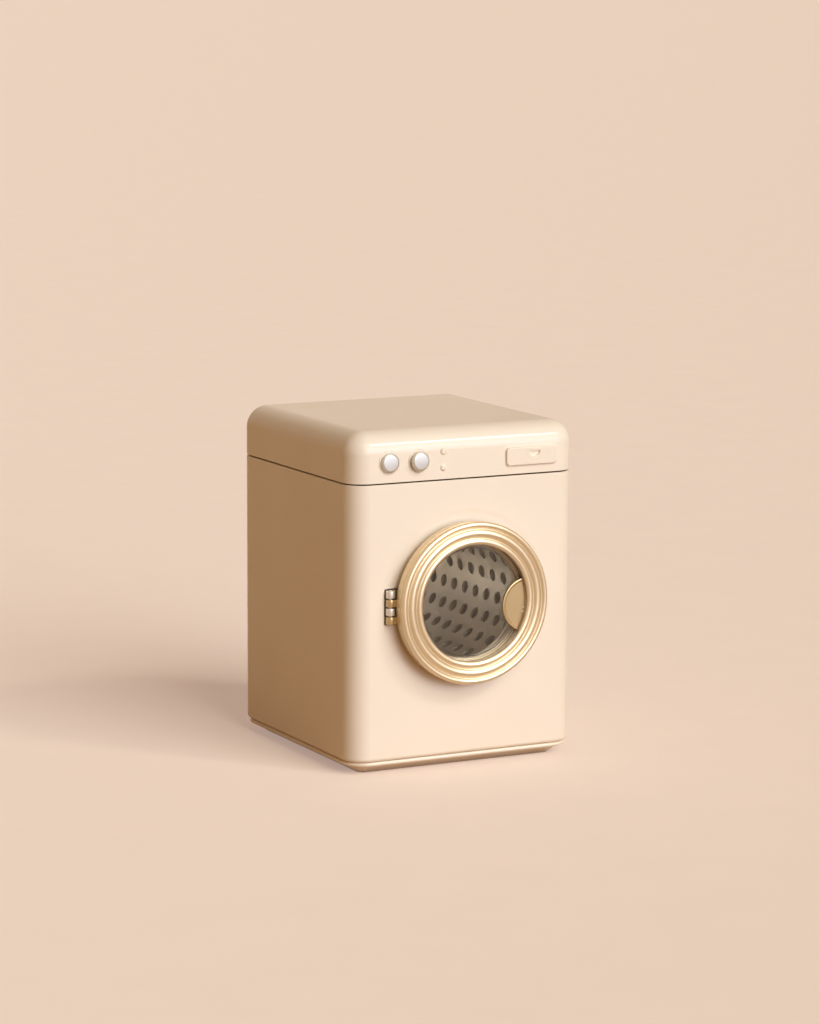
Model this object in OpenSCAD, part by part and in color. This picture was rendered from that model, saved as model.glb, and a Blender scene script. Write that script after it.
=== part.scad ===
// Toy washing machine in enamelled sheet metal, with a beaded brass-coloured door and a perforated drum.
// Millimetres, +Z up. The origin is on the floor under the middle of the cabinet, and the front faces -Y.

/* [Cabinet] */
// Width of the cabinet
cabinet_w = 78; // [72:1:96]
// Depth of the cabinet
cabinet_d = 80.5; // [74:0.5:100]
// Height from the floor to the top of the cover
cabinet_h = 105; // [97:1:130]
// Radius of the upright corners
corner_r = 8.2; // [7.6:0.1:10]
// Radius of the cover's top edge, held just under that of the corners
top_edge_r = 8; // [4:0.1:9]
// Thickness of the enamelled sheet
sheet = 0.8; // [0.5:0.1:1]
// Height of the cover, from the seam to its top
cover_h = 15.5; // [14:0.5:18]
// Height of the open line between the cover and the shell
seam_gap = 0.4; // [0.2:0.1:0.8]
// Height of the stepped neck that the cover slides over
neck_h = 3; // [2:0.5:3.5]
// Gap between pieces that slide into each other
fit_gap = 0.1; // [0.05:0.05:0.2]
// Radius of the shell's rounded bottom edge
hem_r = 1.2; // [1:0.1:2]
// Width of the flange turned in under the shell
hem_w = 3; // [2:0.5:4]
// Width of the folded seam down the back
back_seam_w = 3; // [2:0.5:5]
// Height of that seam above the back wall
back_seam_h = 0.4; // [0.2:0.1:0.8]
// Distance of that seam from the middle of the back
back_seam_x = 22; // [12:1:26]

/* [Base] */
// Height of the shell's bottom edge above the floor
plinth_h = 4.2; // [3.5:0.1:6]
// How far the plinth's foot stands in from the cabinet's face
plinth_inset = 6; // [4.5:0.5:6.5]
// Radius of the rolled bead round the plinth's rim
plinth_bead_r = 0.65; // [0.4:0.05:0.8]
// How far the bead stands in from the cabinet's face
plinth_bead_inset = 0.6; // [0.3:0.1:1]
// Height of the skirt that reaches up into the shell
skirt_h = 4; // [2:0.5:8]

/* [Control panel] */
// Distances of the two knobs from the cabinet's left side
knob_inset = [12.9, 22.8];
// Depth of the knobs' centres below the top of the cover
knob_drop = 9.4; // [8.5:0.1:10.5]
// How far each knob's head is drawn out from its boss
knob_rise = [0.1, 0.7];
// Radius of a knob's head
knob_r = 2.95; // [2.4:0.05:3.4]
// Height of a knob's head
knob_h = 1; // [0.8:0.1:2]
// Radius of a knob's rounded edge
knob_edge_r = 0.65; // [0.3:0.05:0.7]
// Radius of a knob's shank
knob_shank_r = 0.9; // [0.6:0.1:1.5]
// Radius of the push-on clip behind a knob
knob_clip_r = 2.2; // [1.8:0.1:2.6]
// Thickness of that clip
knob_clip_t = 0.4; // [0.3:0.1:0.8]
// Radius of the raised boss round a knob
boss_r = 3.6; // [3.5:0.1:4.2]
// Height of that boss
boss_h = 0.3; // [0.2:0.1:0.6]
// Distance of the two embossed dots from the cabinet's left side
dot_inset = 31.2; // [29:0.1:33]
// Depths of the dots below the top of the cover
dot_drop = [7, 11.9];
// Radius of a dot
dot_r = 1.2; // [0.8:0.1:1.6]
// Height of a dot
dot_h = 0.6; // [0.4:0.1:0.8]
// Distance of the embossed drawer front's centre from the cabinet's right side
drawer_inset = 16.6; // [16:0.1:20]
// Depth of the drawer front's centre below the top of the cover
drawer_drop = 10; // [9:0.1:11]
// Width of the drawer front
drawer_w = 17.6; // [12:0.1:18]
// Height of the drawer front
drawer_h = 5.6; // [5:0.1:6]
// Radius of the drawer front's corners
drawer_r = 1; // [0.6:0.1:2]
// How far the drawer front is raised
drawer_rise = 0.5; // [0.4:0.1:0.7]
// Radius of the drawer front's rounded edge
drawer_edge_r = 0.35; // [0.1:0.05:0.35]
// Radius of the half-moon finger recess in it
finger_r = 2.2; // [1.5:0.1:2.4]
// Distance of the half-moon from the drawer front's centre
finger_x = 0.8; // [0:0.1:4]
// Height of the half-moon's straight side above the drawer front's centre
finger_z = 1.6; // [1:0.1:2]

/* [Door opening] */
// Height of the door's and the drum's centre above the floor
door_z = 51.8; // [46:0.1:54]
// Radius of the opening in the front wall
mouth_r = 17.7; // [15:0.1:17.7]
// Height of the collar round the opening, to the crest of its rolled edge
collar_h = 2; // [1.6:0.1:2]
// Radius of the shallow recess round the door
recess_r = 27.6; // [26.5:0.1:30]
// Depth of that recess
recess_depth = 0.2; // [0.1:0.05:0.3]

/* [Door] */
// Outer radius of the door ring
door_r = 25; // [24:0.1:26]
// Radius of the visible window
window_r = 17.9; // [16.5:0.1:18.5]
// Distance from the front wall to the door's back
door_gap = 2.2; // [2.2:0.1:3]
// Height of the middle bead's crest above the door's back
door_t = 5.1; // [4.6:0.1:5.2]
// Radius of the inner bead, next to the window
inner_bead_r = 1.15; // [1.1:0.05:1.2]
// Radius of the bead at the rim
rim_bead_r = 1.05; // [0.95:0.05:1.15]
// How far the beads run into each other, and the inner one into the window's opening
bead_overlap = 0.1; // [0.05:0.05:0.15]
// How far the inner bead's crest lies below the middle one's
inner_bead_drop = 0.2; // [0.1:0.05:0.3]
// How far the rim bead's crest lies below the middle one's
rim_bead_drop = 0.2; // [0.1:0.05:0.4]
// How far the ring's side wall stands in from the rim bead
rim_step = 0.15; // [0.05:0.05:0.3]
// Depth from the door's back to the shoulder that the window bears on
window_seat = 1.4; // [1.2:0.1:1.8]
// Width of the shoulder that the window bears on
window_edge_w = 2.5; // [1.5:0.1:2.5]
// Thickness of the window
window_t = 0.6; // [0.4:0.1:0.8]
// Rise of the window's shallow dome
window_dome = 0.5; // [0.3:0.1:0.6]
// Radius of the finger pull's round edge
pull_r = 8.5; // [6:0.1:10]
// Position of that round edge's centre, across and up from the door's centre
pull_centre = [18.6, -1.9];
// Thickness of the finger pull
pull_t = 0.6; // [0.4:0.1:0.8]
// Radius of the rolled edge on the finger pull
pull_bead_r = 0.35; // [0.2:0.05:0.4]
// Distance from the door's back to the finger pull
pull_lift = 2.4; // [2.2:0.1:2.8]
// Radius of the magnet that holds the door shut
magnet_r = 2; // [1.5:0.1:2.2]
// Thickness of the magnet
magnet_t = 1; // [0.6:0.1:1.2]

/* [Hinge] */
// Distance of the hinge pin from the door's edge
hinge_offset = 1.1; // [1:0.05:1.5]
// Distance of the hinge pin's axis in front of the front wall
hinge_lift = 1; // [0.9:0.05:1.2]
// Radius of the hinge knuckles
knuckle_r = 1.45; // [1.3:0.05:1.5]
// Height of each of the four knuckles
knuckle_h = 2.3; // [2:0.1:3]
// Gap between neighbouring knuckles
knuckle_gap = 0.35; // [0.2:0.05:0.5]
// Radius of the hinge pin
hinge_pin_r = 0.6; // [0.4:0.05:0.8]
// Radial gap between a shaft or pin and what turns on it
running_gap = 0.05; // [0.03:0.01:0.08]
// Thickness of the hinge leaves
leaf_t = 0.6; // [0.4:0.1:0.6]
// Width of the leaf that is riveted behind the front wall
body_leaf_w = 6.8; // [6.4:0.1:7]
// Width of the leaf that is riveted to the door
door_leaf_w = 5; // [4.5:0.1:5.2]
// Gap above and below the hinge barrel in its slot
slot_gap = 0.4; // [0.3:0.1:0.6]
// Width of the slot that the hinge barrel sits in
slot_w = 5.05; // [4.9:0.05:5.2]
// Radius of the rivets' shanks
rivet_r = 0.45; // [0.3:0.05:0.5]
// Radius of the rivets' heads
rivet_head_r = 0.8; // [0.6:0.05:0.9]
// Height of the rivets' heads
rivet_head_h = 0.35; // [0.2:0.05:0.4]
// Distance between the two rivets of a leaf
rivet_pitch = 6.6; // [5:0.1:7.5]

/* [Drum] */
// Inner radius of the drum
drum_r = 21.5; // [19.5:0.1:24]
// Thickness of the drum's sheet
drum_sheet = 0.6; // [0.4:0.1:0.8]
// Gap between the front wall and the drum
drum_front_gap = 2; // [1.8:0.1:3]
// Gap between the back wall and the drum
drum_back_gap = 7; // [6.5:0.5:12]
// Radius of the drum's mouth, inside its rolled lip
drum_mouth_r = 18.4; // [17.8:0.1:19]
// Radius of that rolled lip
drum_lip_r = 0.5; // [0.4:0.05:0.6]
// Radius of the drum's holes
hole_r = 1.9; // [1.2:0.05:2.2]
// Distance between holes along the drum
hole_pitch = 7.15; // [6:0.05:10]
// Number of rows of holes, an even number
rows = 20; // [16:2:24]
// Turn of the first row from the level, seen from the front
row_turn = 25; // [0:1:36]
// Distance from the drum's front edge to the first hole
hole_start = 4.6; // [3.5:0.1:7]
// Radius of the dished middle of the drum's back
dish_r = 9; // [7:0.5:14]
// Depth of that dish
dish_depth = 1.5; // [1:0.1:2.5]
// Radius of the drum's axle
axle_r = 1.5; // [1:0.1:2]
// Radius of the axle's head on the back wall
axle_head_r = 3; // [2.5:0.1:4]
// Height of the axle's head
axle_head_h = 0.9; // [0.6:0.1:1.2]
// Radius of the bush in the drum's back
bush_r = 3; // [2.4:0.1:3.6]
// Radius of the bush's flange
bush_flange_r = 4.6; // [4:0.1:6]
// Thickness of the bush's flange
bush_flange_t = 0.8; // [0.5:0.1:1.2]
// Length of the bush
bush_l = 5; // [4:0.5:7]
// End play of the drum on its axle, at each end
end_play = 0.15; // [0.1:0.05:0.3]
// Radius of the plate that stiffens the back wall round the axle
axle_plate_r = 7; // [5:0.5:10]
// Thickness of that plate
axle_plate_t = 1; // [0.8:0.1:1.5]
// Radius of the washer and the push nut at the axle's end
washer_r = 2.8; // [2.4:0.1:3.6]
// Thickness of the washer
washer_t = 0.4; // [0.3:0.1:0.6]
// Thickness of the push nut
push_nut_t = 0.8; // [0.5:0.1:1.2]

/* [Hidden] */
$fn = 96;
dome_fn = 2880; // the window's dome has a very large radius, so its arc needs short steps
past = 1; // how far a cutting shape reaches past the face that it cuts

seam_z = cabinet_h - cover_h;
shoulder_z = seam_z - seam_gap;
cover_edge_r = min(top_edge_r, corner_r - fit_gap);
plinth_rim_z = plinth_h - fit_gap;

knob_x = [for (inset = knob_inset) inset - cabinet_w / 2];
knob_z = cabinet_h - knob_drop;
knob_shank_l = boss_h + sheet + max(knob_rise) + end_play + knob_clip_t;

// Depths are measured outwards from the front wall's outer face, so they are negative inside the cabinet
wall_back = -sheet - recess_depth;
door_front = door_gap + door_t;
inner_bead_x = window_r + inner_bead_r - bead_overlap;
middle_bead_inner = inner_bead_x + inner_bead_r - bead_overlap;
middle_bead_outer = door_r - 2 * rim_bead_r + bead_overlap;
middle_bead_r = (middle_bead_outer - middle_bead_inner) / 2;
ring_fill = door_front - middle_bead_r;
window_front = door_gap + window_seat;
window_outer_r = window_r + window_edge_w - fit_gap;
window_dome_r = (pow(window_r, 2) + pow(window_dome, 2)) / (2 * window_dome);
pull_back = door_gap + pull_lift;

hinge_x = -door_r - hinge_offset;
barrel_h = 4 * knuckle_h + 3 * knuckle_gap;
knuckle_step = knuckle_h + knuckle_gap;
slot_x = hinge_x - knuckle_r - fit_gap;
leaf_clear = knuckle_r + 3 * fit_gap;
strap_front = hinge_lift - knuckle_r / 2;
rivet_edge = rivet_head_r + rivet_r;
body_rivet_x = hinge_x + body_leaf_w - rivet_edge;
door_rivet_x = hinge_x + door_leaf_w - rivet_edge;

drum_front = -sheet - drum_front_gap;
drum_back = -cabinet_d + sheet + drum_back_gap;
barrel_front = drum_front - drum_sheet;
barrel_back = drum_back + drum_sheet;
barrel_l = barrel_front - barrel_back;
drum_outer_r = drum_r + drum_sheet;
holes_per_row = floor((barrel_l - hole_start - hole_pitch / 2 - hole_r) / hole_pitch) + 1;
dish_front = barrel_back + dish_depth;
bush_front = dish_front + bush_flange_t;
bush_back = bush_front - bush_l;
washer_back = bush_front + end_play;
nut_back = washer_back + washer_t;
axle_front = nut_back + push_nut_t + fit_gap;
plate_front = -cabinet_d + sheet + axle_plate_t;
spacer_front = bush_back - end_play;

enamel = "#f0dfc6";
brass = "#c8a571";
steel = "#8d8478";
silver = "#dcdad6";

// ---- Shapes that repeat ----

// A rectangle with round corners, about its centre
module round_rect(w, d, r) {
    square([w - 2 * r, d], center = true);
    square([w, d - 2 * r], center = true);
    for (x = [-1, 1], y = [-1, 1])
        translate([x * (w / 2 - r), y * (d / 2 - r)])
            circle(r = r);
}

// A block with round upright corners
module slab(w, d, r, h)
    linear_extrude(h)
        round_rect(w, d, r);

// Half of a block's section, from its axis at x = 0, with its upper edge rounded
module round_step(w, h, edge_r) {
    square([w, h - edge_r]);
    square([w - edge_r, h]);
    translate([w - edge_r, h - edge_r])
        intersection() {
            circle(r = edge_r);
            square(edge_r);
        }
}

// Sweeps a section round a rectangle with round corners. The section's x is 0 at the corners' centres
module wrap(w, d, r) {
    for (turn = [0:3])
        rotate([0, 0, 90 * turn]) {
            across = turn % 2 == 0 ? w : d;
            along = turn % 2 == 0 ? d : w;
            translate([across / 2 - r, along / 2 - r, 0])
                rotate_extrude(angle = 90)
                    children();
            translate([across / 2 - r, along / 2 - r, 0])
                rotate([90, 0, 0])
                    linear_extrude(along - 2 * r)
                        children();
        }
}

// A block with round upright corners and a rounded upper edge
module pad(w, d, r, h, edge_r) {
    wrap(w, d, r)
        round_step(r, h, edge_r);
    translate([-w / 2 + r, -d / 2 + r, 0])
        cube([w - 2 * r, d - 2 * r, h]);
}

// Stands its children on the front wall, at x across and z up, facing outwards
module on_front(x, z)
    translate([x, -cabinet_d / 2, z])
        rotate([90, 0, 0])
            children();

// A disc or tube between two depths
module disc(r, from, to, bore_r = 0)
    translate([0, 0, from])
        difference() {
            cylinder(r = r, h = to - from);
            if (bore_r > 0)
                translate([0, 0, -past])
                    cylinder(r = bore_r, h = to - from + 2 * past);
        }

// A shallow domed head, round its axis
module dome(r, h) {
    ball_r = (r * r + h * h) / (2 * h);
    rotate_extrude()
        intersection() {
            translate([0, h - ball_r])
                circle(r = ball_r);
            square([r, h]);
        }
}

// ---- Cabinet ----

module shell_walls()
    difference() {
        union() {
            translate([0, 0, shoulder_z])
                mirror([0, 0, 1])
                    pad(cabinet_w, cabinet_d, corner_r, shoulder_z - plinth_h, hem_r);
            neck = sheet + fit_gap;
            translate([0, 0, shoulder_z - sheet])
                slab(cabinet_w - 2 * neck, cabinet_d - 2 * neck, corner_r - neck, sheet + seam_gap + neck_h);
        }
        translate([0, 0, plinth_h + sheet])
            slab(
                cabinet_w - 2 * sheet, cabinet_d - 2 * sheet, corner_r - sheet,
                shoulder_z - plinth_h - 2 * sheet
            );
        inside = 2 * sheet + fit_gap;
        translate([0, 0, shoulder_z - sheet - past])
            slab(
                cabinet_w - 2 * inside, cabinet_d - 2 * inside, corner_r - inside,
                sheet + seam_gap + neck_h + 2 * past
            );
        translate([0, 0, plinth_h - past])
            slab(cabinet_w - 2 * hem_w, cabinet_d - 2 * hem_w, corner_r - hem_w, sheet + 2 * past);
    }

// The collar round the opening, drawn outwards and rolled at its edge
module mouth_collar() {
    lip = collar_h - sheet / 2;
    rotate_extrude() {
        translate([mouth_r, wall_back])
            square([sheet, lip - wall_back]);
        translate([mouth_r + sheet / 2, lip])
            circle(r = sheet / 2);
    }
}

module back_seam()
    translate([back_seam_x - back_seam_w / 2, cabinet_d / 2 - sheet / 2, plinth_h + hem_r])
        cube([back_seam_w, sheet / 2 + back_seam_h, shoulder_z - plinth_h - hem_r]);

module cabinet_shell()
    color(enamel)
        difference() {
            union() {
                difference() {
                    union() {
                        shell_walls();
                        on_front(0, door_z)
                            disc(recess_r, wall_back, -sheet / 2);
                    }
                    on_front(0, door_z)
                        disc(recess_r, -recess_depth, past);
                }
                on_front(0, door_z)
                    mouth_collar();
                back_seam();
            }
            on_front(0, door_z) {
                disc(mouth_r, wall_back - past, collar_h + past);
                translate([slot_x, -barrel_h / 2 - slot_gap, wall_back - past])
                    cube([slot_w, barrel_h + 2 * slot_gap, sheet + 2 * past]);
                at_rivets(body_rivet_x)
                    disc(rivet_r, wall_back - past, past);
                disc(axle_r, -cabinet_d - past, -cabinet_d + sheet + past);
            }
        }

module drawer_front()
    difference() {
        pad(drawer_w, drawer_h, drawer_r, drawer_rise, drawer_edge_r);
        translate([finger_x, finger_z, drawer_rise / 2])
            intersection() {
                cylinder(r = finger_r, h = drawer_rise);
                translate([-finger_r, -finger_r, 0])
                    cube([2 * finger_r, finger_r, drawer_rise]);
            }
    }

module cover_walls()
    difference() {
        pad(cabinet_w, cabinet_d, corner_r, cover_h, cover_edge_r);
        translate([0, 0, -past])
            pad(
                cabinet_w - 2 * sheet, cabinet_d - 2 * sheet, corner_r - sheet,
                cover_h - sheet + past, cover_edge_r - sheet
            );
    }

module top_cover()
    color(enamel)
        difference() {
            union() {
                translate([0, 0, seam_z])
                    cover_walls();
                for (x = knob_x)
                    on_front(x, knob_z)
                        disc(boss_r, -sheet / 2, boss_h);
                for (drop = dot_drop)
                    on_front(dot_inset - cabinet_w / 2, cabinet_h - drop)
                        dome(dot_r, dot_h);
                on_front(cabinet_w / 2 - drawer_inset, cabinet_h - drawer_drop)
                    drawer_front();
            }
            for (x = knob_x)
                on_front(x, knob_z)
                    disc(knob_shank_r + running_gap, -sheet - past, boss_h + past);
        }

// The pan's section: its floor, flared wall, rolled bead under the shell's hem and skirt inside the shell
module pan_section() {
    foot_x = corner_r - plinth_inset;
    bead_x = corner_r - plinth_bead_inset - plinth_bead_r;
    bead_z = plinth_rim_z - plinth_bead_r;
    skirt_x = corner_r - hem_w - fit_gap;
    polygon([
        [0, 0],
        [foot_x, 0],
        [bead_x, bead_z],
        [bead_x, plinth_rim_z - fit_gap],
        [skirt_x, plinth_rim_z - fit_gap],
        [skirt_x, plinth_rim_z + skirt_h],
        [skirt_x - sheet, plinth_rim_z + skirt_h],
        [skirt_x - sheet, plinth_rim_z - sheet],
        [foot_x - sheet, sheet],
        [0, sheet],
    ]);
    translate([bead_x, bead_z])
        circle(r = plinth_bead_r);
}

module base_pan()
    color(enamel) {
        wrap(cabinet_w, cabinet_d, corner_r)
            pan_section();
        translate([-cabinet_w / 2 + corner_r, -cabinet_d / 2 + corner_r, 0])
            cube([cabinet_w - 2 * corner_r, cabinet_d - 2 * corner_r, sheet]);
    }

// ---- Door ----

module door_ring()
    color(brass)
        on_front(0, door_z)
            rotate_extrude()
                difference() {
                    union() {
                        translate([window_r, door_gap])
                            square([door_r - rim_step - window_r, ring_fill - door_gap]);
                        translate([inner_bead_x, door_front - inner_bead_drop - inner_bead_r])
                            circle(r = inner_bead_r);
                        translate([middle_bead_outer - middle_bead_r, ring_fill])
                            circle(r = middle_bead_r);
                        translate([door_r - rim_bead_r, door_front - rim_bead_drop - rim_bead_r])
                            circle(r = rim_bead_r);
                    }
                    square([window_r, door_front]);
                    square([window_r + window_edge_w, window_front]);
                }

module door_window()
    color("#dfe6e4", 0.3)
        on_front(0, door_z)
            rotate_extrude() {
                translate([window_r, window_front - window_t])
                    square([window_outer_r - window_r, window_t]);
                difference() {
                    intersection() {
                        translate([0, window_front + window_dome - window_dome_r])
                            circle(r = window_dome_r, $fn = dome_fn);
                        translate([0, window_front - window_t])
                            square([window_r, window_t + window_dome]);
                    }
                    translate([0, window_front - window_t + window_dome - window_dome_r])
                        circle(r = window_dome_r, $fn = dome_fn);
                }
            }

module door_backing_ring()
    color(brass)
        on_front(0, door_z)
            disc(window_outer_r, door_gap, window_front - window_t, window_r);

module door_pull()
    color(brass)
        on_front(0, door_z)
            intersection() {
                disc(window_r - running_gap, pull_back, pull_back + pull_t + pull_bead_r);
                translate(pull_centre) {
                    disc(pull_r, pull_back, pull_back + pull_t);
                    rotate_extrude()
                        translate([pull_r - pull_bead_r, pull_back + pull_t])
                            circle(r = pull_bead_r);
                }
            }

module door_magnet()
    color(steel)
        on_front((window_r + window_edge_w + door_r) / 2, door_z)
            disc(magnet_r, wall_back - magnet_t, wall_back);

// ---- Hinge ----

// The upright barrel's frame: z runs up the pin from the barrel's lower end
module on_hinge()
    translate([hinge_x, -cabinet_d / 2 - hinge_lift, door_z - barrel_h / 2])
        children();

module at_rivets(x)
    for (side = [-1, 1])
        translate([x, side * rivet_pitch / 2, 0])
            children();

// Two of the four knuckles, from the lowest one named, with straps that reach across from them between two depths
module knuckles(lowest, from, to, back, front)
    on_hinge()
        difference() {
            union() {
                for (i = [lowest, lowest + 2])
                    translate([0, 0, i * knuckle_step]) {
                        cylinder(r = knuckle_r, h = knuckle_h);
                        translate([from, hinge_lift - front, 0])
                            cube([to - from, front - back, knuckle_h]);
                    }
            }
            translate([0, 0, -past])
                cylinder(r = hinge_pin_r + running_gap, h = barrel_h + 2 * past);
        }

module hinge_leaf_body()
    color(silver)
        difference() {
            union() {
                knuckles(1, -knuckle_r / 2, leaf_clear + leaf_t, wall_back - leaf_t, strap_front);
                on_front(hinge_x, door_z)
                    translate([-knuckle_r / 2, -barrel_h / 2, wall_back - leaf_t])
                        cube([body_leaf_w + knuckle_r / 2, barrel_h, leaf_t]);
            }
            on_front(0, door_z)
                at_rivets(body_rivet_x)
                    disc(rivet_r, wall_back - leaf_t - past, past);
        }

module hinge_leaf_door()
    color(brass)
        difference() {
            union() {
                knuckles(0, 0, leaf_clear + leaf_t, door_gap - leaf_t, door_gap);
                on_front(hinge_x, door_z)
                    translate([leaf_clear, -barrel_h / 2, door_gap - leaf_t])
                        cube([door_leaf_w - leaf_clear, barrel_h, leaf_t]);
            }
            on_front(0, door_z)
                at_rivets(door_rivet_x)
                    disc(rivet_r, door_gap - leaf_t - past, door_gap + past);
        }

module hinge_pin()
    color(silver)
        on_hinge()
            difference() {
                translate([0, 0, -fit_gap])
                    cylinder(r = hinge_pin_r, h = barrel_h + 2 * fit_gap);
                translate([0, 0, barrel_h - hinge_pin_r])
                    cylinder(r = hinge_pin_r / 2, h = hinge_pin_r + past);
            }

// Rivets with a domed head in front and a flat closing head behind
module hinge_rivets_body()
    color(silver)
        on_front(0, door_z)
            at_rivets(body_rivet_x) {
                translate([0, 0, -recess_depth])
                    dome(rivet_head_r, rivet_head_h);
                disc(rivet_r, wall_back - leaf_t, -recess_depth);
                disc(rivet_head_r, wall_back - leaf_t - rivet_head_h, wall_back - leaf_t);
            }

module hinge_rivets_door()
    color(brass)
        on_front(0, door_z)
            at_rivets(door_rivet_x)
                translate([0, 0, door_gap - leaf_t])
                    mirror([0, 0, 1]) {
                        dome(rivet_head_r, rivet_head_h);
                        disc(rivet_r, -leaf_t, 0);
                    }

// ---- Knobs ----

module knob(i)
    color(silver)
        on_front(knob_x[i], knob_z)
            translate([0, 0, boss_h + knob_rise[i]])
                rotate_extrude() {
                    round_step(knob_r, knob_h, knob_edge_r);
                    translate([0, -knob_shank_l])
                        square([knob_shank_r, knob_shank_l]);
                }

module knob_clip(i)
    color(steel)
        on_front(knob_x[i], knob_z)
            translate([0, 0, boss_h + knob_rise[i] - knob_shank_l])
                disc(knob_clip_r, 0, knob_clip_t, knob_shank_r);

module knob_left() knob(0);
module knob_left_clip() knob_clip(0);
module knob_right() knob(1);
module knob_right_clip() knob_clip(1);

// ---- Drum ----

// Neighbouring rows are staggered by half a pitch
module drum_holes()
    for (row = [0:rows - 1], i = [0:holes_per_row - 1]) {
        stagger = row % 2 == 0 ? hole_pitch / 2 : 0;
        rotate([0, 0, row_turn - 360 / rows * row])
            translate([drum_r - past, 0, barrel_front - hole_start - stagger - hole_pitch * i])
                rotate([0, 90, 0])
                    cylinder(r = hole_r, h = drum_sheet + 2 * past);
    }

module drum_barrel()
    color(steel)
        on_front(0, door_z)
            difference() {
                disc(drum_outer_r, barrel_back, barrel_front, drum_r);
                drum_holes();
            }

module drum_front_ring()
    color(steel)
        on_front(0, door_z)
            rotate_extrude() {
                lip_x = drum_mouth_r + drum_lip_r;
                translate([lip_x, barrel_front])
                    square([drum_outer_r - lip_x, drum_sheet]);
                translate([lip_x, barrel_front + drum_sheet - drum_lip_r])
                    circle(r = drum_lip_r);
            }

module drum_back_plate()
    color(steel)
        on_front(0, door_z)
            rotate_extrude()
                polygon([
                    [bush_r, dish_front],
                    [dish_r, dish_front],
                    [dish_r + dish_depth, barrel_back],
                    [drum_outer_r, barrel_back],
                    [drum_outer_r, drum_back],
                    [dish_r + dish_depth - drum_sheet / 2, drum_back],
                    [dish_r - drum_sheet / 2, dish_front - drum_sheet],
                    [bush_r, dish_front - drum_sheet],
                ]);

module drum_bush()
    color(brass)
        on_front(0, door_z) {
            disc(bush_r, bush_back, bush_front, axle_r + running_gap);
            disc(bush_flange_r, dish_front, bush_front, axle_r + running_gap);
        }

module drum_axle()
    color(silver)
        on_front(0, door_z) {
            disc(axle_r, -cabinet_d, axle_front);
            translate([0, 0, -cabinet_d])
                mirror([0, 0, 1])
                    dome(axle_head_r, axle_head_h);
        }

module axle_plate()
    color(steel)
        on_front(0, door_z)
            disc(axle_plate_r, plate_front - axle_plate_t, plate_front, axle_r);

module axle_spacer()
    color(steel)
        on_front(0, door_z)
            disc(bush_r, plate_front, spacer_front, axle_r);

module axle_washer()
    color(silver)
        on_front(0, door_z)
            disc(washer_r, washer_back, nut_back, axle_r);

module axle_push_nut()
    color(steel)
        on_front(0, door_z)
            disc(washer_r - drum_sheet / 2, nut_back, nut_back + push_nut_t, axle_r);

cabinet_shell();
top_cover();
base_pan();
door_ring();
door_window();
door_backing_ring();
door_pull();
door_magnet();
hinge_leaf_body();
hinge_leaf_door();
hinge_pin();
hinge_rivets_body();
hinge_rivets_door();
knob_left();
knob_left_clip();
knob_right();
knob_right_clip();
drum_barrel();
drum_front_ring();
drum_back_plate();
drum_bush();
drum_axle();
axle_plate();
axle_spacer();
axle_washer();
axle_push_nut();
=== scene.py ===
"""Doll-size washing machine: its fine pieces, finishes, light and camera.

Sizes are given in millimetres and turned to metres, in the part's own frame.
"""

import logging
import math
from collections.abc import Callable, Iterable, Sequence
from dataclasses import dataclass
from enum import Enum

import bmesh
import bpy
from mathutils import Matrix, Vector


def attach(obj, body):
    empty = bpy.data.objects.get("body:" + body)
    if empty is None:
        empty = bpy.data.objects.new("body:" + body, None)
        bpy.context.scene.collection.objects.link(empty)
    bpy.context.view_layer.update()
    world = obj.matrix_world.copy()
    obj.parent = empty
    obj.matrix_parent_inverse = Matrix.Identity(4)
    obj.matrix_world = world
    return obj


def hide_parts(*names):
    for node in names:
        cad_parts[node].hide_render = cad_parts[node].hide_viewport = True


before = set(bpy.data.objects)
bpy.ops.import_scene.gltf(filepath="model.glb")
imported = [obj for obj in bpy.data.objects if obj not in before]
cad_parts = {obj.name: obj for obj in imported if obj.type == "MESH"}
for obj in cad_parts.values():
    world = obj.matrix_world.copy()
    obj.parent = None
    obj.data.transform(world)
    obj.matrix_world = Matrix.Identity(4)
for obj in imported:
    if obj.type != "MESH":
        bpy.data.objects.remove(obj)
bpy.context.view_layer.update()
LOG = logging.getLogger("washer")

Piece = bpy.types.Object
Material = bpy.types.Material
Tree = bpy.types.NodeTree
Socket = bpy.types.NodeSocket
Section = list[tuple[float, float]]

MM = 0.001
WELD = 0.001  # Points closer than this, in millimetres, are one point.
SLIVER = 0.0005  # What a boolean leaves that is smaller than this, in millimetres, is merged away.
CREASE = 40.0  # An edge stays sharp past this angle, in degrees.
ALONG = 0.9  # Least share of a direction that lies along an axis for it to count as that way.
ACROSS = 0.1  # Greatest share of a direction that lies along an axis for it to count as across it.
TOUCH = 0.01  # How near a height a part of a mesh lies to count as being at it, in millimetres.
# Ways that the cabinet's flat sides face, and how closely a face's normal agrees with one.
FLATS = ((0.0, -1.0, 0.0), (-1.0, 0.0, 0.0), (1.0, 0.0, 0.0), (0.0, 1.0, 0.0), (0.0, 0.0, 1.0))
FLAT_AGREES = 0.999


# ---- Modelling ----


class Join(Enum):
    """How one solid is put together with another."""

    ADD = "UNION"
    CUT = "DIFFERENCE"
    KEEP = "INTERSECT"


class Part(Enum):
    """What an edit picks."""

    VERTS = "VERT"
    EDGES = "EDGE"
    FACES = "FACE"


@dataclass(frozen=True)
class Axis:
    """A line that sections are drawn beside and spun about.

    Args:
        origin: A point on the line, in millimetres.
        along: Direction of the line.
        out: Direction in which a section's radius is measured.
    """

    origin: tuple[float, float, float]
    along: tuple[float, float, float]
    out: tuple[float, float, float] = (1.0, 0.0, 0.0)

    def at(self, radius: float, height: float) -> Vector:
        """Give the point at a radius from the line and a height along it.

        Args:
            radius: Distance from the line, in millimetres.
            height: Distance along the line from its origin, in millimetres.

        Returns:
            The point, in metres.
        """
        return MM * (Vector(self.origin) + radius * Vector(self.out) + height * Vector(self.along))


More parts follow.
